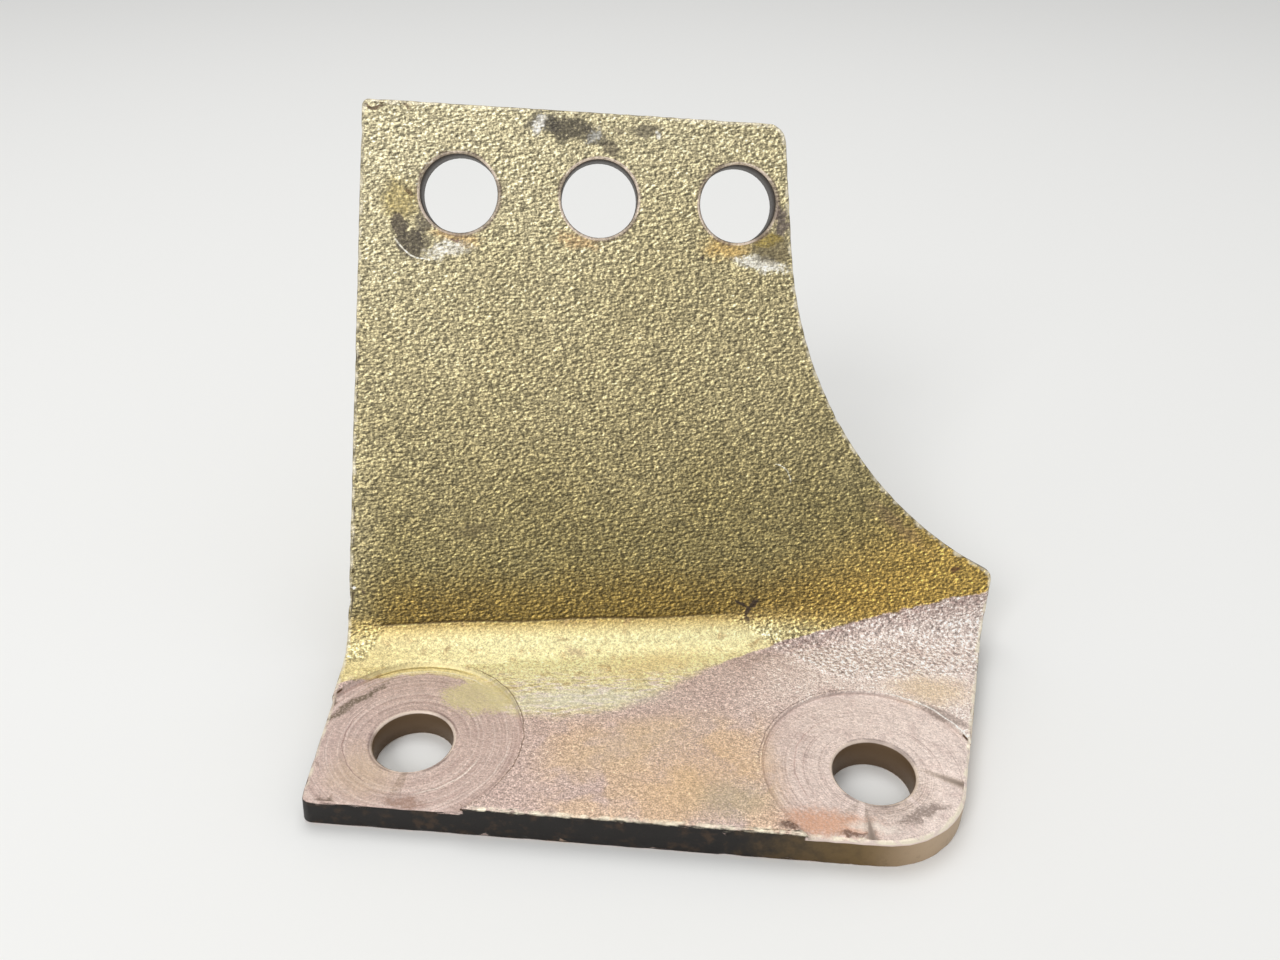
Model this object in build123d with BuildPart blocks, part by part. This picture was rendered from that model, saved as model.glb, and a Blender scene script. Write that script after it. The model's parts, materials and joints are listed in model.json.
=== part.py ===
from build123d import *
import math
import os

os.makedirs("parts", exist_ok=True)

# All sizes in mm. The origin is the centre of the left foot bore at the underside.
# X runs along the bend, the foot reaches forward along -Y, Z is up.

# Plate and bend
plate = 4.76
bend_inside = 5.5
opening = 113.6

# Foot, seen from above
bore_d = 10.0
foot_pitch = 57.2
foot_skew = 8.2
front_margin = 10.8
right_margin = 11.0
bend_from_bore = 16.5
left_margin = 11.0
foot_left_taper = 3.0
foot_right_taper = 21.0
front_left_r = 1.2
front_right_r = 11.0

# Spotfaces round the foot bores
spot_d = 27.4
spot_depth_left = 0.9
spot_depth_right = 0.5

# Upright, seen square on, with heights measured along it from the sharp corner of the bend
upright_offset = 24.9
row_height = 60.1
row_pitch = 18.25
row_skew = 2.5
row_margin = 7.25
top_margin = 10.9
top_skew = 3.6
left_lean = 4.4
right_lean = 3.5
scallop_drop = 7.1
elbow_rise = 5.0
top_left_r = 1.0
top_right_r = 2.6
elbow_r = 1.6

# Small rounding along the outline, and a small bevel at each bore
edge_r = 0.4
bore_bevel = 0.25


def along(point, angle, distance):
    x = point[0] + distance * math.cos(math.radians(angle))
    y = point[1] + distance * math.sin(math.radians(angle))
    return (x, y)


def crossing(point, angle, other, other_angle):
    ux, uy = along((0, 0), angle, 1)
    vx, vy = along((0, 0), other_angle, 1)
    gap_x = other[0] - point[0]
    gap_y = other[1] - point[1]
    distance = (gap_x * vy - gap_y * vx) / (ux * vy - uy * vx)
    return along(point, angle, distance)


def on_spotface(edge):
    middle = edge.position_at(0.5)
    reaches = [math.dist((middle.X, middle.Y), centre) for centre in ((0, 0), right_bore)]
    return any(abs(reach - spot_d / 2) < spot_depth_right / 100 for reach in reaches)


# Derived places
turn = 180 - opening
tangent = bend_inside / math.tan(math.radians(opening / 2))
clear = 2 * foot_pitch
right_bore = along((0, 0), -foot_skew, foot_pitch)
front_dir = -foot_skew
right_dir = 90 - foot_right_taper
left_dir = 90 - foot_left_taper
front_point = along((0, 0), front_dir - 90, front_margin)
right_point = along(right_bore, right_dir - 90, right_margin)
left_bend = (-left_margin, bend_from_bore - tangent)
front_left = crossing(left_bend, left_dir, front_point, front_dir)
front_right = crossing(front_point, front_dir, right_point, right_dir)
right_back = crossing(right_point, right_dir, (0, bend_from_bore + 4 * plate), 0)

upright = Plane(
    origin=(upright_offset, bend_from_bore, plate),
    x_dir=(1, 0, 0),
    z_dir=(0, -math.sin(math.radians(opening)), -math.cos(math.radians(opening))),
)
upright_left = (-left_margin - upright_offset, tangent)
top_point = (0, row_height + top_margin)
scallop_top = (row_pitch + row_margin, row_height - scallop_drop)
elbow_height = tangent + elbow_rise
elbow_y = bend_from_bore - elbow_height * math.cos(math.radians(opening))
elbow_x = crossing(right_point, right_dir, (0, elbow_y), 0)[0] - upright_offset
span = math.dist(scallop_top, (elbow_x, elbow_height))
chord = math.degrees(math.atan2(elbow_height - scallop_top[1], elbow_x - scallop_top[0]))
scallop_r = span / 2 / math.cos(math.radians(right_lean - chord))
scallop_centre = along(scallop_top, right_lean, scallop_r)
top_left = crossing(upright_left, 90 - left_lean, top_point, -top_skew)
top_right = crossing(scallop_top, 90 + right_lean, top_point, -top_skew)

# The left side is one flat cut that holds both the upright's left edge and the foot's
left_up = upright.from_local_coords(Vector(*along((0, 0), 90 - left_lean, 1)))
left_up = left_up - upright.origin
left_side = Plane(
    origin=(*left_bend, plate),
    z_dir=left_up.cross(Vector(*along((0, 0), left_dir, 1))),
)
# The right side is one upright cut through foot, bend and upright
right_side = Plane(origin=(*right_point, 0), z_dir=along((0, 0), right_dir - 90, 1) + (0,))

with BuildPart() as bracket:
    # Foot and bend: the side view, carried along the bend
    with BuildSketch(Plane.YZ.offset(-clear)) as side_view:
        with BuildLine() as side_outline:
            front_end = Line((-clear, 0), (-clear, plate))
            foot_top = Line(front_end @ 1, (left_bend[1], plate))
            inner_bend = JernArc(foot_top @ 1, (1, 0), bend_inside, turn)
            joint = PolarLine(inner_bend @ 1, plate, turn - 90)
            outer_bend = JernArc(joint @ 1, (inner_bend % 1) * -1, bend_inside + plate, -turn)
            Line(outer_bend @ 1, front_end @ 0)
        make_face()
    extrude(amount=2 * clear)

    # Front edge of the foot, with the large corner on the right
    with BuildSketch() as plan_view:
        with BuildLine() as plan_outline:
            far_left = along(front_point, front_dir, -clear)
            Polyline((far_left[0], right_back[1]), far_left, front_right, right_back, close=True)
        make_face()
        fillet(plan_view.vertices().sort_by_distance(Vector(*front_right))[0], front_right_r)
    extrude(amount=4 * plate, mode=Mode.INTERSECT)

    # Upright: outline with the hollow curve on its right side
    with BuildSketch(upright) as face_view:
        with BuildLine() as face_outline:
            far_top = along(top_right, 180 - top_skew, clear)
            hollow_x = scallop_centre[0]
            Polyline(
                far_top,
                top_right,
                scallop_top,
                (hollow_x, scallop_top[1]),
                (hollow_x, tangent),
                (far_top[0], tangent),
                close=True,
            )
        make_face()
        with Locations(scallop_centre):
            Circle(scallop_r, mode=Mode.SUBTRACT)
        fillet(face_view.vertices().sort_by_distance(Vector(*top_right))[0], top_right_r)
    extrude(amount=-plate)

    # Left and right sides
    split(bisect_by=left_side, keep=Keep.BOTTOM)
    split(bisect_by=right_side, keep=Keep.BOTTOM)
    side = bracket.faces().filter_by(right_side).sort_by(Axis.X)[-1]
    fillet(side.edges().sort_by(Axis.Z)[-1], elbow_r)
    top_left_corner = upright.from_local_coords(Vector(*top_left, -plate / 2))
    fillet(bracket.edges().sort_by_distance(top_left_corner)[0], top_left_r)
    fillet(bracket.edges().sort_by_distance((*front_left, plate / 2))[0], front_left_r)

    # Row of three bores in the upright
    with BuildSketch(upright) as row:
        with Locations(*[along((0, row_height), -row_skew, k * row_pitch) for k in (-1, 0, 1)]):
            Circle(bore_d / 2)
    extrude(amount=-plate, mode=Mode.SUBTRACT)

    # Spotfaces: flat circles cut round the foot bores, the left one out to the foot's corner
    with BuildSketch(Plane.XY.offset(plate - spot_depth_left)):
        Circle(spot_d / 2)
        with Locations(front_left):
            Rectangle(front_left_r * 5, front_left_r * 5)
    extrude(amount=plate, mode=Mode.SUBTRACT)
    with BuildSketch(Plane.XY.offset(plate - spot_depth_right)):
        with Locations(right_bore):
            Circle(spot_d / 2)
    extrude(amount=plate, mode=Mode.SUBTRACT)

    # Foot bores
    with BuildSketch():
        with Locations((0, 0), right_bore):
            Circle(bore_d / 2)
    extrude(amount=plate, mode=Mode.SUBTRACT)

    # Worn edges: a small rounding along the whole outline, front and back
    rounds = bracket.faces().filter_by(GeomType.CYLINDER)
    bends = rounds.filter_by(lambda face: abs(face.axis_of_rotation.direction.X) > 0.9)
    skins = bends + bracket.faces().filter_by(Plane.XY) + bracket.faces().filter_by(upright)
    outline = ShapeList()
    for edge in bracket.edges().filter_by(lambda edge: not edge.is_closed):
        on_skin = [face for face in skins if edge in face.edges()]
        if len(on_skin) == 1 and not on_spotface(edge):
            outline.append(edge)
    fillet(outline, edge_r)
    chamfer(bracket.edges().filter_by(lambda edge: edge.is_closed), bore_bevel)

bracket.part.label = "bracket"
export_step(bracket.part, "parts/bracket.step")
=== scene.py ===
import bmesh
import bpy
import json
import math
from mathutils import Matrix, Vector
from mathutils.kdtree import KDTree


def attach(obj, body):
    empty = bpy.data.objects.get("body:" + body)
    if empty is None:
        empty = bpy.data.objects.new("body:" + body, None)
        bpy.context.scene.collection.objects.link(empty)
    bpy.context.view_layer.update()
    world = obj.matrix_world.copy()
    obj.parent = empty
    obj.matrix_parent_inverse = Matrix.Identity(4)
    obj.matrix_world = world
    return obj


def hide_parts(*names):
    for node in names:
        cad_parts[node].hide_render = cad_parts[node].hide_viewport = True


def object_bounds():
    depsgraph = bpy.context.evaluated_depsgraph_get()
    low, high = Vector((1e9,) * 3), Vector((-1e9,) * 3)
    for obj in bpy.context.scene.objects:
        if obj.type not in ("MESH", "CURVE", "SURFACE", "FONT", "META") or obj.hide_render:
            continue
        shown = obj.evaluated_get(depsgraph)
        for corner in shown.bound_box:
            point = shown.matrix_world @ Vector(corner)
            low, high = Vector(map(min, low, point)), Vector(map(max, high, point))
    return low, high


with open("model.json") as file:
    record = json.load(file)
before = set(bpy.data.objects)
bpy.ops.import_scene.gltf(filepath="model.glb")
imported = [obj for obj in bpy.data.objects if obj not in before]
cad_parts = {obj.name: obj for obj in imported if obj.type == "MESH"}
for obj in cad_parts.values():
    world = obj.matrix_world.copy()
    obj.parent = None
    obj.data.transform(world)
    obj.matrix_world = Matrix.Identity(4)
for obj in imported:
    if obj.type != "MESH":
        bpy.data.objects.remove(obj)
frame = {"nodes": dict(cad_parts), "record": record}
cadLow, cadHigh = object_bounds()
scene = bpy.context.scene
scene.view_settings.view_transform = "Standard"
millimetre = 0.001
print("frame loaded")


def tone(red, green, blue):
    # a screen colour, 0 to 255, as the linear colour that a shader takes
    def linear(value):
        value = value / 255
        return value / 12.92 if value <= 0.04045 else ((value + 0.055) / 1.055) ** 2.4
    return (linear(red), linear(green), linear(blue), 1.0)


class Wire:
    # one output of a node; arithmetic on it adds Math nodes
    def __init__(self, graph, socket):
        self.graph = graph
        self.socket = socket

    def math(self, operation, *values):
        inputs = dict(enumerate(values))
        return self.graph.node("ShaderNodeMath", {"operation": operation}, inputs)

    def __add__(self, other):
        return self.math("ADD", self, other)

    __radd__ = __add__

    def __sub__(self, other):
        return self.math("SUBTRACT", self, other)

    def __rsub__(self, other):
        return self.math("SUBTRACT", other, self)

    def __mul__(self, other):
        return self.math("MULTIPLY", self, other)

    __rmul__ = __mul__

    def __truediv__(self, other):
        return self.math("DIVIDE", self, other)

    def __rtruediv__(self, other):
        return self.math("DIVIDE", other, self)

    def __abs__(self):
        return self.math("ABSOLUTE", self)

    def atMost(self, other):
        return self.math("MINIMUM", self, other)

    def atLeast(self, other):
        return self.math("MAXIMUM", self, other)

    def ramp(self, start, end, low=0.0, high=1.0):
        # eased from low at start to high at end, and level outside them
        numbers = isinstance(start, (int, float)) and isinstance(end, (int, float))
        if numbers and end < start:
            start, end, low, high = end, start, high, low
        return self.graph.node(
            "ShaderNodeMapRange",
            {"interpolation_type": "SMOOTHSTEP"},
            {"Value": self, "From Min": start, "From Max": end, "To Min": low, "To Max": high},
        )


class Graph:
    # adds nodes to one node tree
    def __init__(self, tree):
        self.tree = tree
        self.turned = {}

    def node(self, kind, settings=None, values=None, output=0):
        made = self.tree.nodes.new(kind)
        for name, value in (settings or {}).items():
            if name == "points":
                self.draw(made, value)
            else:
                setattr(made, name, value)
        for name, value in (values or {}).items():
            socket = made.inputs[name]
            if isinstance(value, Wire):
                self.tree.links.new(value.socket, socket)
            else:
                socket.default_value = value
        return Wire(self, made.outputs[output]) if made.outputs else made

    def draw(self, made, points):
        # a curve through these points, each 0 to 1 both ways
        line = made.mapping.curves[0]
        line.points[0].location = points[0]
        line.points[1].location = points[-1]
        for place in points[1:-1]:
            line.points.new(*place)
        made.mapping.update()

    def vector(self, operation, *values, output=0, scale=None):
        inputs = dict(enumerate(values))
        if scale is not None:
            inputs["Scale"] = scale
        return self.node("ShaderNodeVectorMath", {"operation": operation}, inputs, output)

    def combine(self, x, y, z):
        return self.node("ShaderNodeCombineXYZ", {}, {0: x, 1: y, 2: z})

    def split(self, vector):
        return [self.node("ShaderNodeSeparateXYZ", {}, {0: vector}, part) for part in range(3)]

    def blend(self, under, top, share):
        colours = {"Factor": share, 6: under, 7: top}
        return self.node("ShaderNodeMix", {"data_type": "RGBA"}, colours, 2)

    def noise(self, place, size, detail=2.0, rough=0.5, output=0):
        # about 0.5 all over, with lumps of this size in mm
        values = {"Vector": place, "Scale": 1 / size, "Detail": detail, "Roughness": rough}
        return self.node("ShaderNodeTexNoise", {}, values, output)

    def drifted(self, place, size, amount):
        # the same place, shifted by up to about half the amount in lumps of this size
        lumps = self.noise(place, size, 0.0, 0.5, 1)
        drift = self.vector("SUBTRACT", lumps, (0.5, 0.5, 0.5))
        return self.vector("ADD", place, self.vector("MULTIPLY", drift, (amount, amount, 0.0)))

    def hypot(self, x, y):
        return self.vector("LENGTH", self.combine(x, y, 0.0), output=1)

    def oval(self, place, centre, half, turn):
        # 0 at an oval's centre, 1 on its outline
        cosine, sine = math.cos(math.radians(turn)), math.sin(math.radians(turn))
        if (place, turn) not in self.turned:
            onward = self.vector("DOT_PRODUCT", place, (cosine, sine, 0.0), output=1)
            across = self.vector("DOT_PRODUCT", place, (-sine, cosine, 0.0), output=1)
            self.turned[place, turn] = self.combine(onward, across, 0.0)
        middleX = cosine * centre[0] + sine * centre[1]
        middleY = cosine * centre[1] - sine * centre[0]
        grow = (1 / half[0], 1 / half[1], 0.0)
        shift = (-middleX / half[0], -middleY / half[1], 0.0)
        reach = self.vector("MULTIPLY_ADD", self.turned[place, turn], grow, shift)
        return self.vector("LENGTH", reach, output=1)


# the plate: sizes in mm, in the part's own frame
plateShape = {
    "corner": (16.5, 4.76),  # y and z of the sharp corner between foot and upright
    "rise": (0.400349, 0.916363),  # the upright's direction, along y and z
    "thickness": 4.76,
    "bendTurn": 66.4,
    "bendHalf": 3.6,  # the bend's length along the plate, each side of the corner
    "spotRadius": 13.7,
    "spotFloors": (3.86, 4.26),
    "boreRadius": 5.0,
    "uprightRimRadius": 5.5,
    "rimReach": 0.7,
}

# how its mesh is refined, in mm
meshing = {
    "mergeGap": 0.002,
    "roundLow": 0.2,  # how much the small roundings face the way the plate does
    "roundHigh": 0.96,
    "edgeStep": 0.8,  # mesh size at an outline
    "edgeBand": 0.7,  # how far from it that size holds
    "stepGrowth": 1.6,
    "flatStep": 8.0,  # mesh size on the flats
    "longest": 1.5,  # an edge of more than this many steps is halved
    "halvings": 8,
    "flatAngle": 0.002,  # edges that bend less, in radians, lie inside a flat
    "smoothAngle": 50,  # edges that bend more, in degrees, stay sharp
    "levelGap": 0.003,
}

bores = {
    mount["name"]: [axis / millimetre for axis in mount["pos_m"]]
    for mount in frame["record"]["mounts"] if mount["kind"] == "bore"
}


def heightUp(y, z):
    # distance in mm from the corner, measured up the upright
    cornerY, cornerZ = plateShape["corner"]
    riseY, riseZ = plateShape["rise"]
    return (y - cornerY) * riseY + (z - cornerZ) * riseZ


def unrolledPlace(y, z):
    # distance in mm along the plate: 0 at the corner, up the upright, and down along the foot
    return (heightUp(y, z) + (y - plateShape["corner"][0])) / (1 + plateShape["rise"][0])


def onRim(place):
    # whether a place is on a rim of a bore or of a spotface
    onFoot = unrolledPlace(*(place / millimetre).yz) < 0
    for name, bore in bores.items():
        if name.startswith("foot"):
            away = math.dist((place.x / millimetre, place.y / millimetre), bore[:2])
            radii = (plateShape["boreRadius"], plateShape["spotRadius"]) if onFoot else ()
        else:
            away = (place / millimetre - Vector(bore)).length
            radii = (plateShape["uprightRimRadius"],)
        if any(abs(away - radius) < plateShape["rimReach"] for radius in radii):
            return True
    return False


def onEdge(face):
    # whether a face is part of the small rounding between a skin of the plate and its wall
    half = plateShape["bendHalf"]
    along = unrolledPlace(*(face.calc_center_median() / millimetre).yz)
    bent = min(1.0, max(0.0, (along + half) / (2 * half)))
    turned = math.radians(plateShape["bendTurn"]) * bent
    facing = abs(face.normal.z * math.cos(turned) - face.normal.y * math.sin(turned))
    return meshing["roundLow"] < facing < meshing["roundHigh"]


def edgeTree(built):
    # points along the outline, without the rims, to find the way to the nearest
    edges = {edge for face in built.faces if onEdge(face) for edge in face.edges}
    places = []
    for edge in built.edges:
        if edge in edges:
            first, last = (corner.co for corner in edge.verts)
            if onRim((first + last) / 2):
                continue
            count = max(1, math.ceil(edge.calc_length() / millimetre / meshing["edgeStep"]))
            places += [first.lerp(last, step / count) for step in range(count + 1)]
    tree = KDTree(len(places))
    for index, place in enumerate(places):
        tree.insert(place, index)
    tree.balance()
    return tree


def wantedStep(tree, edge):
    middle = (edge.verts[0].co + edge.verts[1].co) / 2
    away = tree.find(middle)[2] / millimetre
    grown = meshing["edgeStep"] + meshing["stepGrowth"] * max(0.0, away - meshing["edgeBand"])
    return min(meshing["flatStep"], grown) * millimetre


def refine(built, tree):
    # halves long edges near outlines, then turns the edges inside each flat
    longest, flatAngle = meshing["longest"], meshing["flatAngle"]
    for halving in range(meshing["halvings"]):
        long = [
            edge for edge in built.edges
            if edge.calc_length() > longest * wantedStep(tree, edge)
        ]
        bmesh.ops.subdivide_edges(built, edges=long, cuts=1)
        sided = [face for face in built.faces if len(face.verts) > 3]
        bmesh.ops.triangulate(built, faces=sided)
        inside = [
            edge for edge in built.edges
            if edge.is_manifold and edge.calc_face_angle() < flatAngle
        ]
        bmesh.ops.beautify_fill(built, faces=built.faces, edges=inside, method="ANGLE")


def bracketMesh():
    built = bmesh.new()
    built.from_mesh(frame["nodes"]["bracket"].data)
    bmesh.ops.remove_doubles(built, verts=built.verts, dist=meshing["mergeGap"] * millimetre)
    outline = edgeTree(built)
    refine(built, outline)
    edgeDistance = [outline.find(corner.co)[2] / millimetre for corner in built.verts]
    outward = []
    for corner in built.verts:
        weighted = (face.normal * face.calc_area() for face in corner.link_faces)
        outward += list(sum(weighted, Vector()).normalized())
    for face in built.faces:
        face.smooth = True
    mesh = bpy.data.meshes.new("bracketPlate")
    built.to_mesh(mesh)
    built.free()
    near = mesh.attributes.new("edgeDistance", "FLOAT", "POINT")
    near.data.foreach_set("value", edgeDistance)
    away = mesh.attributes.new("outward", "FLOAT_VECTOR", "POINT")
    away.data.foreach_set("vector", outward)
    mesh.materials.clear()
    return mesh


def levelFlats(mesh):
    # faces that lie in one of the plate's flats take that flat's own normal
    riseY, riseZ = plateShape["rise"]
    thickness = plateShape["thickness"]
    up, out = Vector((0.0, 0.0, 1.0)), Vector((0.0, -riseZ, riseY))
    front = out.dot(Vector((0.0, *plateShape["corner"])))
    flats = [(up, level) for level in (thickness, *plateShape["spotFloors"])]
    flats += [(-up, 0.0), (out, front), (-out, thickness - front)]
    normals = [tuple(corner.vector) for corner in mesh.corner_normals]
    for normal, level in flats:
        heights = (corner.co.dot(normal) / millimetre for corner in mesh.vertices)
        inFlat = [abs(height - level) < meshing["levelGap"] for height in heights]
        for face in mesh.polygons:
            if all(inFlat[corner] for corner in face.vertices):
                for loop in face.loop_indices:
                    normals[loop] = normal
    mesh.normals_split_custom_set(normals)


# rubbed and nicked edges that show in the mesh itself, in mm; each is an input of the tree
wear = {
    "edgeReach": 1.1,
    "rubDepth": 0.12,
    "rubSize": 1.6,
    "rubFrom": 0.4,
    "rubTo": 0.75,
    "nickDepth": 0.3,
    "nickSize": 5.0,
    "nickFrom": 0.64,
    "nickTo": 0.76,
    "seed": 3.0,
}

# detail and roughness of both patterns, and how far along x and y a seed moves them
wearNoise = {"rub": (3.0, 0.6), "nick": (2.0, 0.5), "seedStride": (37.0, 11.0)}


def wearTree(material):
    tree = bpy.data.node_groups.new("plateWear", "GeometryNodeTree")
    ends = tree.interface
    ends.new_socket("Geometry", in_out="INPUT", socket_type="NodeSocketGeometry")
    inputs = {
        name: ends.new_socket(name, in_out="INPUT", socket_type="NodeSocketFloat").identifier
        for name in wear
    }
    ends.new_socket("Geometry", in_out="OUTPUT", socket_type="NodeSocketGeometry")
    graph = Graph(tree)
    entry = tree.nodes.new("NodeGroupInput")
    size = {name: Wire(graph, entry.outputs[name]) for name in wear}
    here = graph.node("GeometryNodeInputPosition")
    place = graph.vector("SCALE", here, scale=1 / millimetre)
    away, outward = (
        graph.node("GeometryNodeInputNamedAttribute", {"data_type": kind}, {"Name": name})
        for kind, name in (("FLOAT", "edgeDistance"), ("FLOAT_VECTOR", "outward"))
    )
    near = away.ramp(size["edgeReach"], 0.0)
    shift = [size["seed"] * stride for stride in wearNoise["seedStride"]]
    seeded = graph.vector("ADD", place, graph.combine(*shift, 0.0))
    rubs = graph.noise(seeded, size["rubSize"], *wearNoise["rub"])
    nicks = graph.noise(seeded, size["nickSize"], *wearNoise["nick"])
    rubbed = near * rubs.ramp(size["rubFrom"], size["rubTo"]) * size["rubDepth"]
    nicked = near * nicks.ramp(size["nickFrom"], size["nickTo"]) * size["nickDepth"]
    offset = graph.vector("SCALE", outward, scale=(rubbed + nicked) * -millimetre)
    moved = graph.vector("MAXIMUM", graph.vector("ADD", here, offset), tuple(cadLow))
    inBox = graph.vector("MINIMUM", moved, tuple(cadHigh))
    plain = Wire(graph, entry.outputs["Geometry"])
    worn = graph.node("GeometryNodeSetPosition", {}, {"Geometry": plain, "Position": inBox})
    real = graph.node("GeometryNodeRealizeInstances", {}, {"Geometry": worn})
    coat = {"Geometry": real, "Material": material}
    graph.node("NodeGroupOutput", {}, {"Geometry": graph.node("GeometryNodeSetMaterial", {}, coat)})
    return tree, inputs


def settle(piece, tree, inputs, values):
    # runs a node tree on a piece and keeps the result as its plain mesh
    modifier = piece.modifiers.new(tree.name, "NODES")
    modifier.node_group = tree
    for name, identifier in inputs.items():
        modifier[identifier] = values[name]
    piece.update_tag()
    evaluated = piece.evaluated_get(bpy.context.evaluated_depsgraph_get())
    done = bpy.data.meshes.new_from_object(evaluated)
    piece.modifiers.clear()
    piece.data = done
    done.name = piece.name


# colours as they look on screen
plateColours = {
    # the upright's plating: the pale tone is partly painted light from above, the low tone partly
    # painted shade
    "platingPaleLit": (199, 188, 153),
    "platingMiddle": (170, 158, 120),
    "platingLowShaded": (134, 122, 80),
    # painted shade where the upright meets the bend
    "creaseShade": (128, 108, 56),
    "platingRight": (178, 148, 76),
    "bendGold": (208, 182, 116),
    # the bend's pale band: partly its own paler finish, partly a painted highlight
    "bendPaleHighlight": (244, 232, 178),
    "bendStain": (186, 158, 112),
    "bendGreen": (222, 212, 174),
    "heatPale": (232, 214, 204),
    "heatPink": (202, 178, 168),
    "heatMauve": (176, 150, 144),
    "heatPurple": (140, 114, 108),
    "ochre": (220, 186, 144),
    # the foot's front wall: dark brown, darkened further by painted shade
    "frontWallShaded": (22, 17, 14),
    "goldWall": (116, 92, 52),
    "cornerWall": (182, 158, 130),
    "sideWall": (118, 104, 78),
    "footBoreWall": (104, 82, 58),
    "uprightBoreWall": (62, 52, 44),
    # pale edges: partly bare worn metal, partly a painted highlight on the rounded edges
    "wornEdgeAndHighlight": (246, 236, 210),
    "rim": (228, 210, 194),
    "rimDark": (88, 66, 66),
    "pit": (74, 57, 32),
    "rough": (58, 42, 28),
    # the spotfaces' step wall, its tone darkened with painted shade
    "spotWall": (92, 68, 46),
}
paint = {name: tone(*shade) for name, shade in plateColours.items()}

# how the finish takes light, and how much pink, stains, rubbing and grain change that
plateGloss = {
    "metallic": 0.5,
    "dullPink": 0.4,
    "roughness": 0.5,
    "stainRough": 0.3,
    "rubbedSmooth": 0.15,
    "fineRough": 0.2,
}

# in the tables of rules that follow, a range is its start and end in mm along the plate, or
# in what a noise gives, then the share at each where that isn't 0 and 1, and a noise is its
# size in mm, its detail and its roughness

# how squarely a place has to face out of the plate to count as its front, or as no wall
skinRule = {"front": (0.3, 0.7), "skin": (0.45, 0.8)}


def skinWires(graph):
    # places and directions that the plate's finish is drawn from
    metres = graph.node("ShaderNodeTexCoord", {}, {}, "Object")
    place = graph.vector("SCALE", metres, scale=1 / millimetre)
    x, y, z = graph.split(place)
    normal = graph.split(graph.node("ShaderNodeNewGeometry", {}, {}, "Normal"))
    height, unrolled = heightUp(y, z), unrolledPlace(y, z)
    # how far the plate has turned up here, from 0 on the foot to the whole turn on the upright
    half = plateShape["bendHalf"]
    bent = ((unrolled + half) / (2 * half)).atLeast(0.0).atMost(1.0)
    angle = bent * math.radians(plateShape["bendTurn"])
    facing = normal[2] * angle.math("COSINE", angle) - normal[1] * angle.math("SINE", angle)
    attribute = {"attribute_name": "edgeDistance"}
    return {
        "place": place, "x": x, "y": y, "z": z, "height": height, "unrolled": unrolled,
        "flat": graph.combine(x, unrolled, 0.0),
        "facing": facing,
        "front": facing.ramp(*skinRule["front"]),
        "skin": abs(facing).ramp(*skinRule["skin"]),
        "edge": graph.node("ShaderNodeAttribute", attribute, {}, "Fac"),
    }


def boreDistances(graph, at):
    # distance to each bore's axis in mm, in the plane that the bore is cut in
    for name, (x, y, z) in bores.items():
        if name.startswith("upright"):
            at[name] = graph.hypot(at["x"] - x, at["height"] - heightUp(y, z))
        else:
            at[name] = graph.hypot(at["x"] - x, at["y"] - y)
    at["footBore"] = at["foot_bore_left"].atMost(at["foot_bore_right"])
    outer = at["upright_bore_left"].atMost(at["upright_bore_middle"])
    at["uprightBore"] = outer.atMost(at["upright_bore_right"])
    at["bore"] = at["footBore"].atMost(at["uprightBore"])


# the plating of the upright: pale at the top, darker towards the bend, yellow on the right; the
# pale top is partly painted light, the darker lower part is partly painted shade, and the darkening
# at the crease is painted shade
platingRule = {
    "cloud": (14.0, 3.0, 0.6),
    "lean": 0.12,  # how much the tones tilt from left to right
    "pale": (36.0, 84.0),
    "paleMiddle": 20.0,
    "paleLean": 0.4,
    "paleDrift": 30.0,
    "low": (6.0, 40.0),
    "lowDrift": 14.0,
    "lowLeft": (-3.0, -11.0, 0.0, 14.0),
    "crease": (13.0, 4.5),
    "creaseDrift": 6.0,
    "creaseLeft": (-10.0, -3.0, 0.2, 1.0),
    "right": (36.0, 64.0, 0.0, 0.85),
    "rightLean": 0.9,
    "rightUp": (14.0, 3.0),
}

# the pale band of the bend, its paleness partly its own smoother finish and partly a painted
# highlight, with its blotches, and the streaked veil where it ends
bandRule = {
    "bright": (3.8, 0.2),
    "brightLean": 0.8,
    "brightLeft": (-14.0, 12.0, 0.5, 1.0),
    "blotchDrift": (3.0, 2.0),
    "blotches": (2.2, 4.0, 0.65),
    "blotched": (0.54, 0.7, 0.0, 0.75),
    "green": (-6.0, -11.0, 0.0, 0.8),
    "streakStretch": (0.22, 1.0, 0.0),
    "streaks": (0.55, 3.0, 0.6),
    "streakPale": (0.48, 0.6, 0.0, 0.9),
    "streakDark": (0.47, 0.36, 0.0, 0.6),
    "veil": (-4.0, -9.0),
    "right": (40.0, 62.0, 0.0, 0.9),
    "sharpest": 0.15,
    "softRight": (36.0, 54.0, 0.0, 2.4),
    "softLeft": (-5.0, -8.0, 0.0, 2.0),
    "ragged": (1.2, 2.0),
    "raggedBy": 0.3,
}

# the line that the bending tool left above the bend: its wave is how often and how far
toolLine = {
    "place": 3.6,
    "width": 0.35,
    "depth": 0.08,
    "left": (-7.5, -5.5),
    "right": (52.0, 32.0),
    "wave": (0.35, 0.12),
    "share": 0.8,
}


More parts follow.
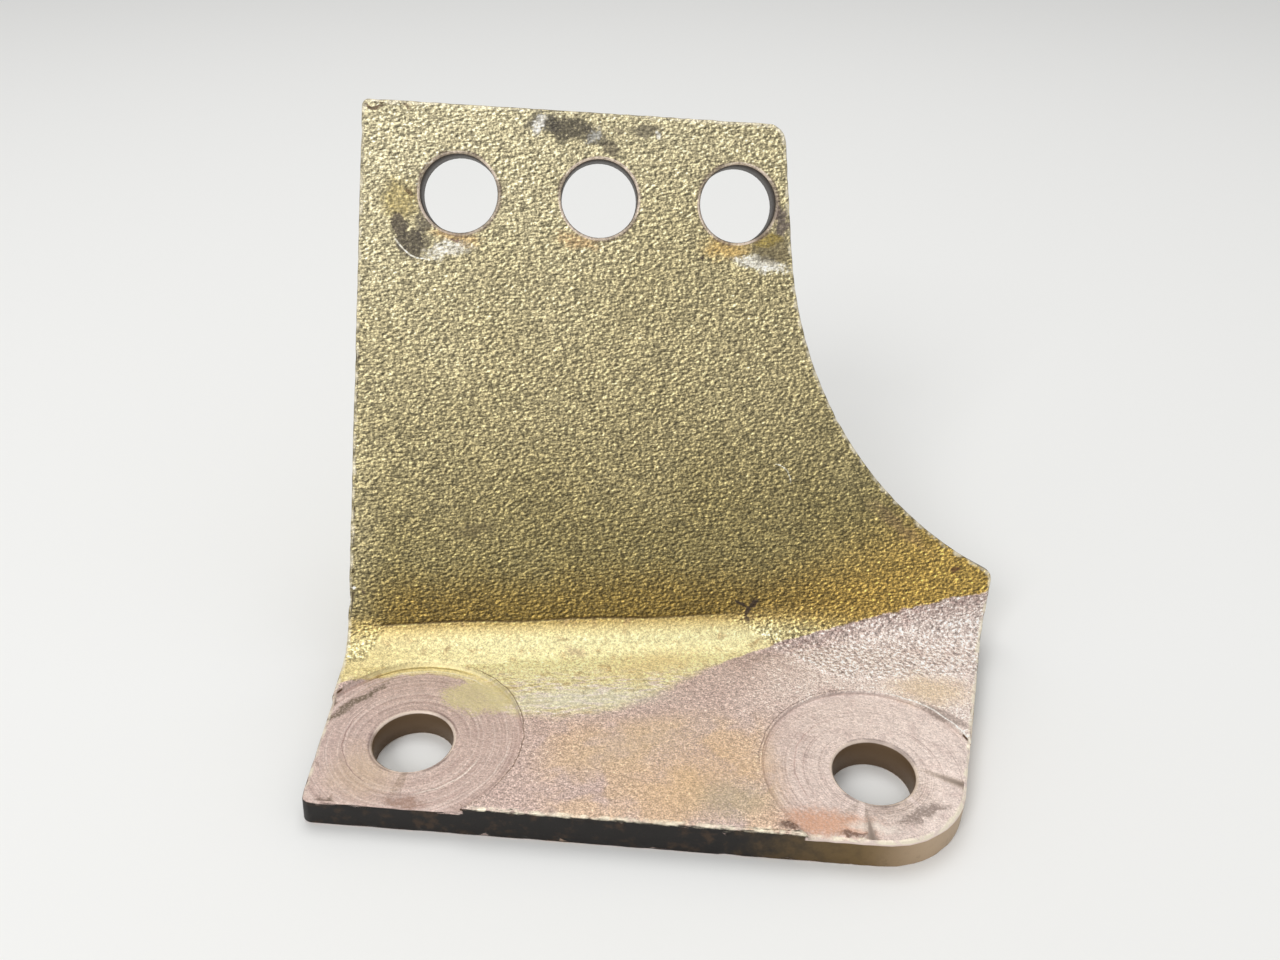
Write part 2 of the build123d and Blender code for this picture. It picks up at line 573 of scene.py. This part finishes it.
def platingColour(graph, at):
    rule = platingRule
    x, unrolled = at["x"], at["unrolled"]
    cloud = graph.noise(at["flat"], *rule["cloud"]) - 0.5
    # the pale top is partly the plating's own tone and partly painted light from above
    pale = unrolled + (rule["paleMiddle"] - x) * rule["paleLean"] + cloud * rule["paleDrift"]
    pale = pale.ramp(*rule["pale"])
    colour = graph.blend(paint["platingMiddle"], paint["platingPaleLit"], pale)
    level = unrolled - x * rule["lean"]
    # darker lower down: partly the plating's own tone, partly painted shade
    low = (level + cloud * rule["lowDrift"] + x.ramp(*rule["lowLeft"])).ramp(*rule["low"])
    colour = graph.blend(paint["platingLowShaded"], colour, low)
    # painted shade, darkening the plating towards the crease
    crease = (unrolled + cloud * rule["creaseDrift"]).ramp(*rule["crease"])
    crease = crease * x.ramp(*rule["creaseLeft"])
    colour = graph.blend(colour, paint["creaseShade"], crease)
    right = (x - unrolled * rule["rightLean"]).ramp(*rule["right"])
    right = right * level.ramp(*rule["rightUp"])
    colour = graph.blend(colour, paint["platingRight"], right)
    return bandColour(graph, at, colour)


def bandColour(graph, at, above):
    rule = bandRule
    x, unrolled, flat = at["x"], at["unrolled"], at["flat"]
    # the pale part of the band is partly a painted highlight of the bend, dimmer on the left
    left = (x + unrolled * rule["brightLean"]).ramp(*rule["brightLeft"])
    bright = unrolled.ramp(*rule["bright"]) * left
    band = graph.blend(paint["bendGold"], paint["bendPaleHighlight"], bright)
    blotches = graph.noise(graph.drifted(flat, *rule["blotchDrift"]), *rule["blotches"])
    band = graph.blend(band, paint["bendStain"], blotches.ramp(*rule["blotched"]))
    band = graph.blend(band, paint["bendGreen"], unrolled.ramp(*rule["green"]))
    stretched = graph.vector("MULTIPLY", flat, rule["streakStretch"])
    streaks = graph.noise(stretched, *rule["streaks"])
    veil = unrolled.ramp(*rule["veil"])
    band = graph.blend(band, paint["heatPale"], streaks.ramp(*rule["streakPale"]) * veil)
    band = graph.blend(band, paint["bendStain"], streaks.ramp(*rule["streakDark"]) * veil)
    band = graph.blend(band, above, x.ramp(*rule["right"]))
    soft = x.ramp(*rule["softRight"]) + x.ramp(*rule["softLeft"]) + rule["sharpest"]
    ragged = (graph.noise(flat, *rule["ragged"]) - 0.5) * rule["raggedBy"]
    top = (unrolled + ragged - toolLine["place"]) / soft
    return graph.blend(above, band, top.ramp(1.0, -1.0))


# height of the line between gold and pink, along the bend: x, unrolled place
heatLine = [
    (-12.0, -6.9), (-5.5, -5.4), (-0.4, -4.8), (3.8, -5.7), (8.0, -8.7), (13.6, -13.4),
    (23.6, -13.2), (28.9, -11.4), (37.2, -6.4), (46.0, -2.3), (59.0, 1.8), (72.5, 4.9),
    (81.0, 6.3),
]

# the pink of the foot: its line, where that is soft, and what lies on it
heatRule = {
    "lineX": (-12.0, 93.0),  # where the line's curve starts, and its span
    "lineUp": (-14.0, 21.0),
    "ragged": (2.4, 4.0, 0.62),
    "raggedBy": 1.8,
    "softLeft": (10.0, 16.0, 0.0, 1.1),
    "softRight": (42.0, 34.0),
    "sharpest": 0.2,
    "pale": (34.0, 62.0),
    "paleCloud": (9.0, 3.0, 0.6),
    "paleDrift": 24.0,
    "mottling": (2.5, 4.0, 0.65),
    "mottled": (0.48, 0.75, 0.0, 0.45),
    "patchDrift": (4.0, 3.0),
    "patches": (8.0, 3.0, 0.55),
    "patched": (0.42, 0.58, 0.0, 0.5),
    "patchLeft": (13.0, 20.0),
    "patchRight": (47.0, 42.0),
    "patchDown": (-13.0, -18.0),
    "purpleRight": (38.0, 50.0, 0.0, 0.8),
    "purpleReach": (4.5, 0.2),
    "purpleFlecks": (0.8, 3.0, 0.75),
    "purpleFlecked": (0.36, 0.62),
}


def heatBorder(graph, at):
    # how pink a place is, and its distance in mm below the line
    rule = heatRule
    startX, spanX = rule["lineX"]
    startUp, spanUp = rule["lineUp"]
    points = [((spot - startX) / spanX, (up - startUp) / spanUp) for spot, up in heatLine]
    along = (at["x"] - startX) / spanX
    line = graph.node("ShaderNodeFloatCurve", {"points": points}, {"Value": along})
    ragged = (graph.noise(at["flat"], *rule["ragged"]) - 0.5) * rule["raggedBy"]
    at["border"] = line * spanUp + startUp + ragged - at["unrolled"]
    soft = at["x"].ramp(*rule["softLeft"]) * at["x"].ramp(*rule["softRight"]) + rule["sharpest"]
    return (at["border"] / soft).ramp(-1.0, 1.0)


def heatColour(graph, at):
    rule = heatRule
    x, flat = at["x"], at["flat"]
    drift = (graph.noise(flat, *rule["paleCloud"]) - 0.5) * rule["paleDrift"]
    pale = (x + drift).ramp(*rule["pale"])
    colour = graph.blend(paint["heatPink"], paint["heatPale"], pale)
    mottled = graph.noise(flat, *rule["mottling"]).ramp(*rule["mottled"])
    colour = graph.blend(colour, paint["heatMauve"], mottled)
    patches = graph.noise(graph.drifted(flat, *rule["patchDrift"]), *rule["patches"])
    between = x.ramp(*rule["patchLeft"]) * x.ramp(*rule["patchRight"])
    between = between * at["unrolled"].ramp(*rule["patchDown"])
    colour = graph.blend(colour, paint["ochre"], patches.ramp(*rule["patched"]) * between)
    purple = x.ramp(*rule["purpleRight"]) * at["border"].ramp(*rule["purpleReach"])
    purple = purple * graph.noise(flat, *rule["purpleFlecks"]).ramp(*rule["purpleFlecked"])
    return graph.blend(colour, paint["heatPurple"], purple)


# the turned rings of the spotfaces
spotRule = {
    "floor": (4.6, 4.45),
    "within": (16.5, 16.0),
    "ringReach": 15.0,
    "rightPitch": 1.7,
    "wander": (0.02, 0.02, 0.0),
    "rings": (0.34, 2.0, 0.7),
    "pale": (0.5, 0.66, 0.0, 0.45),
    "dark": (0.47, 0.34, 0.0, 0.34),
}


def turnedRings(graph, at, colour):
    # lays the rings over the colour, and finds where they are
    rule = spotRule
    inSpot = at["z"].ramp(*rule["floor"]) * at["front"] * at["footBore"].ramp(*rule["within"])
    left = at["foot_bore_left"].atMost(rule["ringReach"])
    right = at["foot_bore_right"].atMost(rule["ringReach"]) * rule["rightPitch"]
    reach = graph.combine(left + right, 0.0, 0.0)
    turned = graph.vector("MULTIPLY_ADD", at["flat"], rule["wander"], reach)
    rings = graph.noise(turned, *rule["rings"])
    colour = graph.blend(colour, paint["heatPale"], rings.ramp(*rule["pale"]) * inSpot)
    colour = graph.blend(colour, paint["heatPurple"], rings.ramp(*rule["dark"]) * inSpot)
    return colour, inSpot


# stains and deposits: x, unrolled place, half sizes, turn, softness, raggedness, colour, share
# and how broken up
stains = [
    # the left bore's dark patch, its yellow stain and its white crust
    (-0.9, 60.3, 2.2, 2.3, 0, 0.5, 1.0, (166, 146, 80), 0.6, 0.4),
    (0.5, 61.0, 0.35, 0.7, 10, 0.4, 0.6, (88, 64, 38), 0.8, 0.2),
    (-1.3, 57.1, 0.9, 1.5, 10, 0.25, 0.8, (74, 64, 58), 0.85, 0.3),
    (0.2, 54.7, 2.0, 1.7, 0, 0.25, 0.8, (70, 62, 56), 0.85, 0.35),
    (1.8, 57.5, 0.9, 2.1, -10, 0.3, 0.8, (86, 78, 70), 0.75, 0.45),
    (5.9, 55.5, 3.0, 0.9, -10, 0.5, 0.8, (214, 168, 104), 0.5, 0.3),
    (5.0, 53.8, 2.6, 0.9, 10, 0.5, 2.0, (240, 234, 220), 0.85, 0.9),
    (6.0, 55.0, 0.7, 0.3, 0, 0.4, 0.6, (96, 72, 76), 0.8, 0.2),
    # the patches above the middle bore
    (18.0, 69.7, 2.2, 1.4, 0, 0.3, 1.0, (88, 84, 76), 0.8, 0.5),
    (17.3, 69.4, 0.7, 1.5, -25, 0.4, 1.6, (244, 240, 230), 0.85, 0.6),
    (21.2, 69.0, 3.0, 1.6, -10, 0.3, 1.0, (72, 66, 58), 0.85, 0.4),
    (24.6, 68.0, 1.7, 1.1, -40, 0.3, 1.0, (82, 76, 68), 0.75, 0.4),
    (26.5, 66.6, 0.9, 1.1, 20, 0.3, 0.8, (90, 80, 68), 0.7, 0.4),
    (27.6, 68.6, 0.7, 0.6, 0, 0.4, 0.8, (112, 100, 84), 0.6, 0.4),
    (24.4, 68.3, 1.0, 0.5, 60, 0.5, 1.8, (214, 212, 204), 0.6, 0.7),
    (31.3, 68.6, 1.9, 1.0, 0, 0.3, 1.0, (100, 92, 78), 0.75, 0.4),
    (32.8, 68.2, 0.4, 0.7, 10, 0.4, 0.8, (244, 240, 228), 0.8, 0.4),
    (22.0, 54.6, 2.4, 0.9, -10, 0.6, 0.8, (206, 160, 106), 0.45, 0.3),
    # the right bore's stain with its white fringe
    (41.7, 53.6, 2.8, 1.4, 0, 0.6, 0.8, (222, 180, 98), 0.55, 0.3),
    (46.2, 51.6, 3.2, 0.9, -10, 0.35, 1.6, (244, 240, 228), 0.85, 0.5),
    (47.3, 53.7, 2.7, 2.1, -25, 0.25, 0.9, (112, 100, 72), 0.85, 0.35),
    (47.2, 54.6, 1.6, 0.9, 10, 0.5, 1.2, (172, 150, 74), 0.7, 0.4),
    (48.9, 56.8, 0.9, 1.5, 10, 0.3, 0.8, (96, 84, 82), 0.85, 0.3),
    (38.1, 52.2, 0.5, 0.3, 0, 0.3, 0.8, (66, 46, 40), 0.85, 0.2),
    # cracks and small marks of the upright
    (-3.7, 72.0, 1.6, 0.25, -10, 0.4, 0.8, (88, 58, 40), 0.8, 0.2),
    (0.5, 71.7, 0.8, 0.2, -25, 0.4, 0.8, (92, 64, 46), 0.7, 0.2),
    (7.2, 16.4, 2.6, 0.9, 10, 0.7, 0.8, (112, 98, 66), 0.5, 0.3),
    (-8.2, 8.2, 0.35, 0.35, 0, 0.4, 0.4, (70, 54, 40), 0.8, 0.0),
    (-9.7, 8.6, 0.3, 0.3, 0, 0.4, 0.2, (255, 250, 236), 0.9, 0.0),
    (65.8, 15.5, 5.0, 0.8, -40, 0.7, 0.8, (120, 90, 74), 0.35, 0.3),
    (73.8, 9.3, 0.4, 0.4, 0, 0.4, 0.4, (96, 62, 30), 0.85, 0.0),
    (43.7, 5.4, 0.95, 0.32, -40, 0.3, 0.4, (46, 30, 24), 0.9, 0.0),
    (45.4, 5.3, 0.9, 0.32, 45, 0.3, 0.4, (46, 30, 24), 0.9, 0.0),
    (44.5, 3.8, 0.36, 1.4, 0, 0.3, 0.4, (48, 32, 26), 0.9, 0.0),
    # the pale band of the bend, and the green-white veil where it ends
    (21.0, -10.8, 8.5, 1.6, 0, 0.9, 1.2, (226, 222, 202), 0.6, 0.3),
    (20.5, -1.6, 1.6, 0.8, -25, 0.7, 1.0, (176, 144, 118), 0.5, 0.4),
    (31.0, -4.6, 6.0, 2.0, 10, 0.9, 1.2, (214, 180, 116), 0.45, 0.3),
    # the left spotface
    (-8.4, -10.0, 5.4, 0.55, 45, 0.5, 1.8, (92, 80, 54), 0.8, 0.6),
    (7.8, -9.6, 4.8, 2.8, -10, 0.2, 1.2, (210, 196, 146), 0.85, 0.3),
    (0.2, -27.2, 2.4, 0.7, -10, 0.5, 1.2, (146, 108, 86), 0.6, 0.4),
    (-5.2, -22.0, 4.0, 3.6, 20, 0.8, 0.8, (206, 180, 146), 0.5, 0.3),
    # stains of the foot
    (35.2, -25.4, 7.0, 5.0, 20, 0.9, 1.2, (218, 184, 138), 0.6, 0.3),
    (38.8, -28.6, 4.0, 2.4, 0, 0.8, 1.2, (176, 164, 136), 0.55, 0.3),
    (28.0, -19.0, 8.0, 3.0, 20, 0.9, 1.2, (214, 188, 148), 0.5, 0.3),
    (67.3, -11.3, 4.6, 2.6, -10, 0.7, 1.0, (216, 190, 146), 0.6, 0.3),
    (68.0, -16.2, 3.4, 0.8, -40, 0.5, 1.4, (124, 106, 96), 0.65, 0.4),
    (49.6, -32.6, 5.0, 1.8, -10, 0.6, 1.2, (206, 142, 96), 0.65, 0.3),
    (44.8, -32.8, 1.2, 0.45, -10, 0.4, 1.2, (92, 66, 52), 0.8, 0.3),
    (51.9, -34.3, 1.4, 0.45, -10, 0.4, 1.2, (96, 68, 52), 0.8, 0.3),
    (54.6, -33.4, 2.8, 0.6, -10, 0.5, 1.4, (238, 226, 214), 0.75, 0.4),
    (61.0, -31.6, 3.0, 0.7, 20, 0.4, 1.6, (104, 84, 72), 0.65, 0.5),
]

# thin curved marks, two of them painted shadow lines in the spotfaces' steps: centre and radius of
# the circle, where on it, half the mark's length and width, colour, share
arcs = [
    (2.4, 57.0, 4.5, 238, 3.4, 0.15, (244, 238, 220), 0.9),
    (48.0, 22.2, 2.4, 40, 2.2, 0.12, (226, 222, 200), 0.8),
    (0.0, -16.5, 9.3, -55, 5.5, 0.14, (240, 228, 216), 0.7),
    (0.0, -16.5, 12.2, -30, 6.0, 0.12, (236, 222, 212), 0.5),
    (0.0, -16.5, 8.7, 185, 9.0, 0.12, (146, 114, 108), 0.6),
    (0.0, -16.5, 12.9, 95, 9.0, 0.16, (138, 116, 70), 0.6),
    (0.0, -16.5, 12.2, 80, 8.0, 0.14, (240, 232, 204), 0.7),
    (0.0, -16.5, 11.6, 100, 9.0, 0.10, (150, 120, 84), 0.5),
    # painted shadow line in the left spotface's step
    (0.0, -16.5, 13.9, 10, 15.0, 0.12, (104, 80, 60), 0.7),
    (56.6, -24.7, 9.6, 160, 9.0, 0.10, (182, 150, 142), 0.6),
    # painted shadow line in the right spotface's step
    (56.6, -24.7, 14.0, 130, 13.0, 0.12, (112, 88, 82), 0.6),
    (56.6, -24.7, 13.9, 42, 8.0, 0.18, (250, 244, 236), 0.8),
]

stainRule = {
    "backAway": 1000.0,  # the back of the plate counts as this far from every stain
    "wander": (1.6, 1.4),
    "ragged": (0.5, 0.7),
    "breaks": (0.35, 3.0, 0.7),
    "broken": (0.5, 0.62),
    "arcWander": (1.5, 0.4),
    "arcCore": 0.3,
    "arcEnd": 0.6,
}


def stained(graph, at, colour):
    # lays the stains and arcs over the colour of the front, and finds how much they hide
    rule = stainRule
    aside = graph.combine((1 - at["front"]) * rule["backAway"], 0.0, 0.0)
    onFront = graph.vector("ADD", at["flat"], aside)
    ragged = graph.drifted(graph.drifted(onFront, *rule["wander"]), *rule["ragged"])
    breaks = graph.noise(at["flat"], *rule["breaks"])
    whole = {
        gaps: 1 - breaks.ramp(*rule["broken"], 0.0, gaps)
        for gaps in sorted({row[-1] for row in stains})
    }
    covered = 0.0
    for x, unrolled, halfX, halfY, turn, soft, rag, shade, share, gaps in stains:
        away = graph.oval(ragged, (x, unrolled), (halfX, halfY), turn)
        away = breaks.math("MULTIPLY_ADD", breaks, rag, away)
        part = away.ramp(1 + soft + rag / 2, 1 - soft + rag / 2, 0.0, share) * whole[gaps]
        colour = graph.blend(colour, tone(*shade), part)
        covered = part.atLeast(covered)
    drawn = graph.drifted(onFront, *rule["arcWander"])
    for x, unrolled, radius, turn, length, width, shade, share in arcs:
        ring = graph.oval(drawn, (x, unrolled), (radius, radius), 0)
        onX = x + radius * math.cos(math.radians(turn))
        onY = unrolled + radius * math.sin(math.radians(turn))
        near = graph.oval(drawn, (onX, onY), (length, length), 0)
        line = abs(ring - 1.0).ramp(width / radius, width / radius * rule["arcCore"])
        part = line * near.ramp(1.0, rule["arcEnd"], 0.0, share)
        colour = graph.blend(colour, tone(*shade), part)
    return colour, covered


# the blasted grain, coarse above the tool's line and fine below it, and the small pits; the grain's
# colour also carries painted light and shade from each lump's slope
grainRule = {
    "stretch": (0.8, 1.0, 1.2),
    "beside": (0.1, 0.05, -0.13),  # the grain is lit by its slope towards this place
    "grain": (0.42, 1.0, 0.5),
    "fine": (0.2, 1.0, 0.6),
    "coarse": (2.6, 4.2),
    "coarseRight": (40.0, 58.0, 0.0, 12.0),
    "coarseLeft": (-5.0, -9.0, 0.0, 6.0),
    "slope": 1.3,
    "level": 0.35,
    "most": 0.8,
    "least": 0.3,
    "pinkLess": 0.4,
    "fineShare": 0.4,
    "pinkFiner": 0.2,
    "stainCalm": 0.6,
    "spotCalm": 0.55,
    "contrast": 5.0,
    "brightest": 0.97,
    "reliefCoarse": 0.28,
    "reliefLeast": 0.06,
    "reliefFine": 0.05,
    "pitSpacing": 2.6,
    "pits": (0.07, 0.03, 0.0, 0.6),
    "pitsUp": (-6.0, -4.0),
}


def blastedGrain(graph, at):
    rule = grainRule
    place, x = at["place"], at["x"]
    here = graph.vector("MULTIPLY", place, rule["stretch"])
    there = graph.vector("MULTIPLY_ADD", place, rule["stretch"], rule["beside"])
    at["grain"] = graph.noise(here, *rule["grain"])
    at["beside"] = graph.noise(there, *rule["grain"])
    at["fine"] = graph.noise(place, *rule["fine"])
    ends = x.ramp(*rule["coarseRight"]) + x.ramp(*rule["coarseLeft"])
    at["coarse"] = (at["unrolled"] + ends).ramp(*rule["coarse"])


def grained(graph, at, colour, pinkness, inSpot, covered):
    # lightens and darkens the colour by the grain's tone and by painted light and shade on each
    # lump's slope, and adds the pits
    rule = grainRule
    grain, fine = at["grain"], at["fine"] - 0.5
    # painted light and shade from the slope of each lump, with the grain's own tone
    grainToneAndSlopeShade = (at["beside"] - grain) * rule["slope"] + (grain - 0.5) * rule["level"]
    coarsely = at["coarse"] * (rule["most"] - pinkness * rule["pinkLess"]) + rule["least"]
    finely = rule["fineShare"] + pinkness * rule["pinkFiner"]
    shift = grainToneAndSlopeShade * coarsely + fine * finely
    calm = (1 - covered * rule["stainCalm"]) * (1 - inSpot * rule["spotCalm"])
    shift = shift * calm * at["skin"] * rule["contrast"]
    lit = graph.vector("SCALE", colour, scale=shift.math("POWER", 2.0, shift))
    colour = graph.vector("MINIMUM", lit, (rule["brightest"],) * 3)
    spots = {"Vector": at["flat"], "Scale": 1 / rule["pitSpacing"]}
    pits = graph.node("ShaderNodeTexVoronoi", {}, spots).ramp(*rule["pits"])
    pits = pits * at["unrolled"].ramp(*rule["pitsUp"]) * at["front"]
    return graph.blend(colour, paint["pit"], pits)


# walls of the outline, of the spotfaces and of the bores; the dark front wall and the spotfaces'
# step carry painted shade
wallRule = {
    "worn": (2.0, 3.0, 0.65),
    "corner": (52.0, 62.0),
    "pitted": (0.52, 0.8, 0.0, 0.6),
    "roughened": (0.5, 0.7),
    "front": (58.0, 36.0),
    "frontDrift": 16.0,
    "sidePitted": (0.5, 0.8, 0.0, 0.5),
    "side": (0.0, 8.0),
    "spotWall": (13.95, 13.8),
    "spotUp": (3.7, 3.8),
    "spotDark": (4.2, 4.4),
    "boreWall": (5.9, 5.5),
}


def walled(graph, at, colour):
    rule = wallRule
    x, z, worn = at["x"], at["z"], at["worn"]
    wall = graph.blend(paint["goldWall"], paint["cornerWall"], x.ramp(*rule["corner"]))
    wall = graph.blend(wall, paint["pit"], worn.ramp(*rule["pitted"]))
    # the front wall's dark brown is partly painted shade
    dark = graph.blend(paint["frontWallShaded"], paint["rough"], worn.ramp(*rule["roughened"]))
    front = (x + (worn - 0.5) * rule["frontDrift"]).ramp(*rule["front"])
    wall = graph.blend(wall, dark, front)
    side = graph.blend(paint["sideWall"], paint["pit"], worn.ramp(*rule["sidePitted"]))
    wall = graph.blend(wall, side, at["y"].ramp(*rule["side"]))
    step = at["footBore"].ramp(*rule["spotWall"]) * z.ramp(*rule["spotUp"])
    # painted shade: the upper part of the spotface's step wall darkened as a shadow line
    ledge = graph.blend(colour, paint["spotWall"], z.ramp(*rule["spotDark"]))
    wall = graph.blend(wall, ledge, step)
    inUpright = at["uprightBore"].ramp(*rule["boreWall"])
    wall = graph.blend(wall, paint["uprightBoreWall"], inUpright)
    wall = graph.blend(wall, paint["footBoreWall"], at["footBore"].ramp(*rule["boreWall"]))
    return graph.blend(colour, wall, 1 - at["skin"])


# worn edges of the outline, pale partly from wear and partly from a painted highlight on their
# rounding, and the rims of the bores
edgeRule = {
    "near": (0.4, 0.05),
    "drift": 0.8,
    "gaps": (1.3, 2.0, 0.6),
    "gapped": (0.3, 0.6),
    "facing": (0.15, 0.4),
    "bareForward": (6.0, 9.0),  # the left part of the front edge isn't rubbed
    "bareLeft": (9.0, 7.0),
    "up": (1.0, 2.0),
    "share": 0.8,
    "rimTurns": (5.0, 1.0),
    "rimDark": (5.75, 5.45),
    "rimDarkTurns": (0.4, 0.6, 0.0, 0.6),
    "rim": (5.42, 5.3),
    "rimFacing": (0.4, 0.6),
    "rimTurned": (0.65, 0.4, 0.2, 0.9),
}


def rubbedEdges(graph, at, colour):
    # lays the bare edges, with their painted highlight, and the rims over the colour, and finds
    # where the edges are rubbed
    rule = edgeRule
    near = (at["edge"] + (at["worn"] - 0.5) * rule["drift"]).ramp(*rule["near"])
    rubbed = near * graph.noise(at["place"], *rule["gaps"]).ramp(*rule["gapped"])
    forward = (at["y"] * -1.0).ramp(*rule["bareForward"])
    bareFront = 1 - forward * at["x"].ramp(*rule["bareLeft"])
    rubbed = rubbed * at["facing"].ramp(*rule["facing"]) * bareFront * at["z"].ramp(*rule["up"])
    # the pale edge is partly wear and partly a painted highlight
    colour = graph.blend(colour, paint["wornEdgeAndHighlight"], rubbed * rule["share"])
    turns = graph.noise(at["flat"], *rule["rimTurns"])
    shade = at["bore"].ramp(*rule["rimDark"]) * at["skin"] * turns.ramp(*rule["rimDarkTurns"])
    colour = graph.blend(colour, paint["rimDark"], shade)
    rim = at["bore"].ramp(*rule["rim"]) * abs(at["facing"]).ramp(*rule["rimFacing"])
    return graph.blend(colour, paint["rim"], rim * turns.ramp(*rule["rimTurned"])), rubbed


def toolGroove(at):
    # 1 in the middle of the bending tool's line, 0 outside it
    x = at["x"]
    often, far = toolLine["wave"]
    bent = x.math("SINE", x * often) * far
    ends = x.ramp(*toolLine["left"]) * x.ramp(*toolLine["right"])
    away = abs(at["unrolled"] - toolLine["place"] - bent)
    return away.ramp(toolLine["width"], 0.0) * ends * at["front"]


def plateMaterial():
    # the plating's colour holds its stains and wear along with painted highlights and painted shade
    material = bpy.data.materials.new("wornPlatingAndPaintedLight")
    material.use_nodes = True
    material.node_tree.nodes.clear()
    graph = Graph(material.node_tree)
    at = skinWires(graph)
    boreDistances(graph, at)
    pinkness = heatBorder(graph, at)
    colour = graph.blend(platingColour(graph, at), heatColour(graph, at), pinkness)
    colour, inSpot = turnedRings(graph, at, colour)
    colour, covered = stained(graph, at, colour)
    blastedGrain(graph, at)
    colour = grained(graph, at, colour, pinkness, inSpot, covered)
    at["worn"] = graph.noise(at["place"], *wallRule["worn"])
    colour = walled(graph, at, colour)
    colour, rubbed = rubbedEdges(graph, at, colour)
    groove = toolGroove(at)
    colour = graph.blend(colour, paint["pit"], groove * toolLine["share"])

    rule, gloss = grainRule, plateGloss
    deep = at["coarse"] * rule["reliefCoarse"] + rule["reliefLeast"]
    height = at["grain"] * deep + at["fine"] * rule["reliefFine"] - groove * toolLine["depth"]
    values = {"Strength": 1.0, "Distance": millimetre, "Height": height * at["skin"]}
    relief = graph.node("ShaderNodeBump", {}, values)
    roughness = gloss["roughness"] + covered * gloss["stainRough"]
    roughness = roughness - rubbed * gloss["rubbedSmooth"]
    roughness = roughness + (at["fine"] - 0.5) * gloss["fineRough"]
    metallic = gloss["metallic"] * (1 - covered) * (1 - pinkness * gloss["dullPink"])
    values = {"Base Color": colour, "Metallic": metallic, "Roughness": roughness, "Normal": relief}
    shader = graph.node("ShaderNodeBsdfPrincipled", {}, values)
    graph.node("ShaderNodeOutputMaterial", {}, {"Surface": shader})
    return material


plate = bpy.data.objects.new("bracketPlate", bracketMesh())
scene.collection.objects.link(plate)
print("mesh refined")
wornPlatingAndPaintedLight = plateMaterial()
print("finish drawn")
settle(plate, *wearTree(wornPlatingAndPaintedLight), wear)
plate.data.set_sharp_from_angle(angle=math.radians(meshing["smoothAngle"]))
levelFlats(plate.data)
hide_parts("bracket")
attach(plate, "root")
print("plate:", len(plate.data.polygons), "faces")

# floor, light and camera: places in metres, lens and sensor in mm
studio = {
    "floorHalf": 3.0,
    "floorTone": (238, 238, 236),
    "floorRoughness": 0.9,
    "world": 0.6,
    "camera": (0.0215628, -0.1008028, 0.1053341),
    "right": (0.99829, -0.05730, 0.01168),
    "up": (0.02064, 0.53208, 0.84645),
    "lens": 30.94,
    "sensor": 36.0,
    "seenFrom": 0.005,
    "seenTo": 20.0,
}

# place, aim, size and power of each lamp
lamps = {
    "overhead": ((0.02, 0.25, 0.75), (0.03, 0.01, 0.02), (0.5, 0.4), 1.6),
    "key": ((-0.35, -0.55, 0.55), (0.03, 0.02, 0.03), (0.3, 0.3), 2.6),
}


def addLamp(name, place, aim, size, power):
    data = bpy.data.lights.new(name, "AREA")
    data.shape = "RECTANGLE"
    data.size, data.size_y = size
    data.energy = power
    lamp = bpy.data.objects.new(name, data)
    scene.collection.objects.link(lamp)
    lamp.location = place
    lamp.rotation_euler = (Vector(aim) - Vector(place)).to_track_quat("-Z", "Y").to_euler()


def addFloor():
    half = studio["floorHalf"]
    corners = [(-half, -half, 0), (half, -half, 0), (half, half, 0), (-half, half, 0)]
    mesh = bpy.data.meshes.new("floor")
    mesh.from_pydata(corners, [], [(0, 1, 2, 3)])
    material = bpy.data.materials.new("paleFloor")
    material.use_nodes = True
    shader = material.node_tree.nodes["Principled BSDF"]
    shader.inputs["Base Color"].default_value = tone(*studio["floorTone"])
    shader.inputs["Roughness"].default_value = studio["floorRoughness"]
    mesh.materials.append(material)
    floor = bpy.data.objects.new("floor", mesh)
    scene.collection.objects.link(floor)


def addCamera():
    data = bpy.data.cameras.new("view")
    data.sensor_fit = "HORIZONTAL"
    data.sensor_width = studio["sensor"]
    data.lens = studio["lens"]
    data.clip_start = studio["seenFrom"]
    data.clip_end = studio["seenTo"]
    camera = bpy.data.objects.new("view", data)
    scene.collection.objects.link(camera)
    right = Vector(studio["right"]).normalized()
    up = Vector(studio["up"])
    up = (up - up.dot(right) * right).normalized()
    turn = Matrix((right, up, right.cross(up))).transposed().to_4x4()
    camera.matrix_world = Matrix.Translation(studio["camera"]) @ turn
    scene.camera = camera


def addWorld():
    world = bpy.data.worlds.new("studio")
    scene.world = world
    world.use_nodes = True
    background = world.node_tree.nodes["Background"]
    background.inputs["Color"].default_value = (1.0, 1.0, 1.0, 1.0)
    background.inputs["Strength"].default_value = studio["world"]


for lampName, lampValues in lamps.items():
    addLamp(lampName, *lampValues)
addFloor()
addCamera()
addWorld()
print("studio ready")
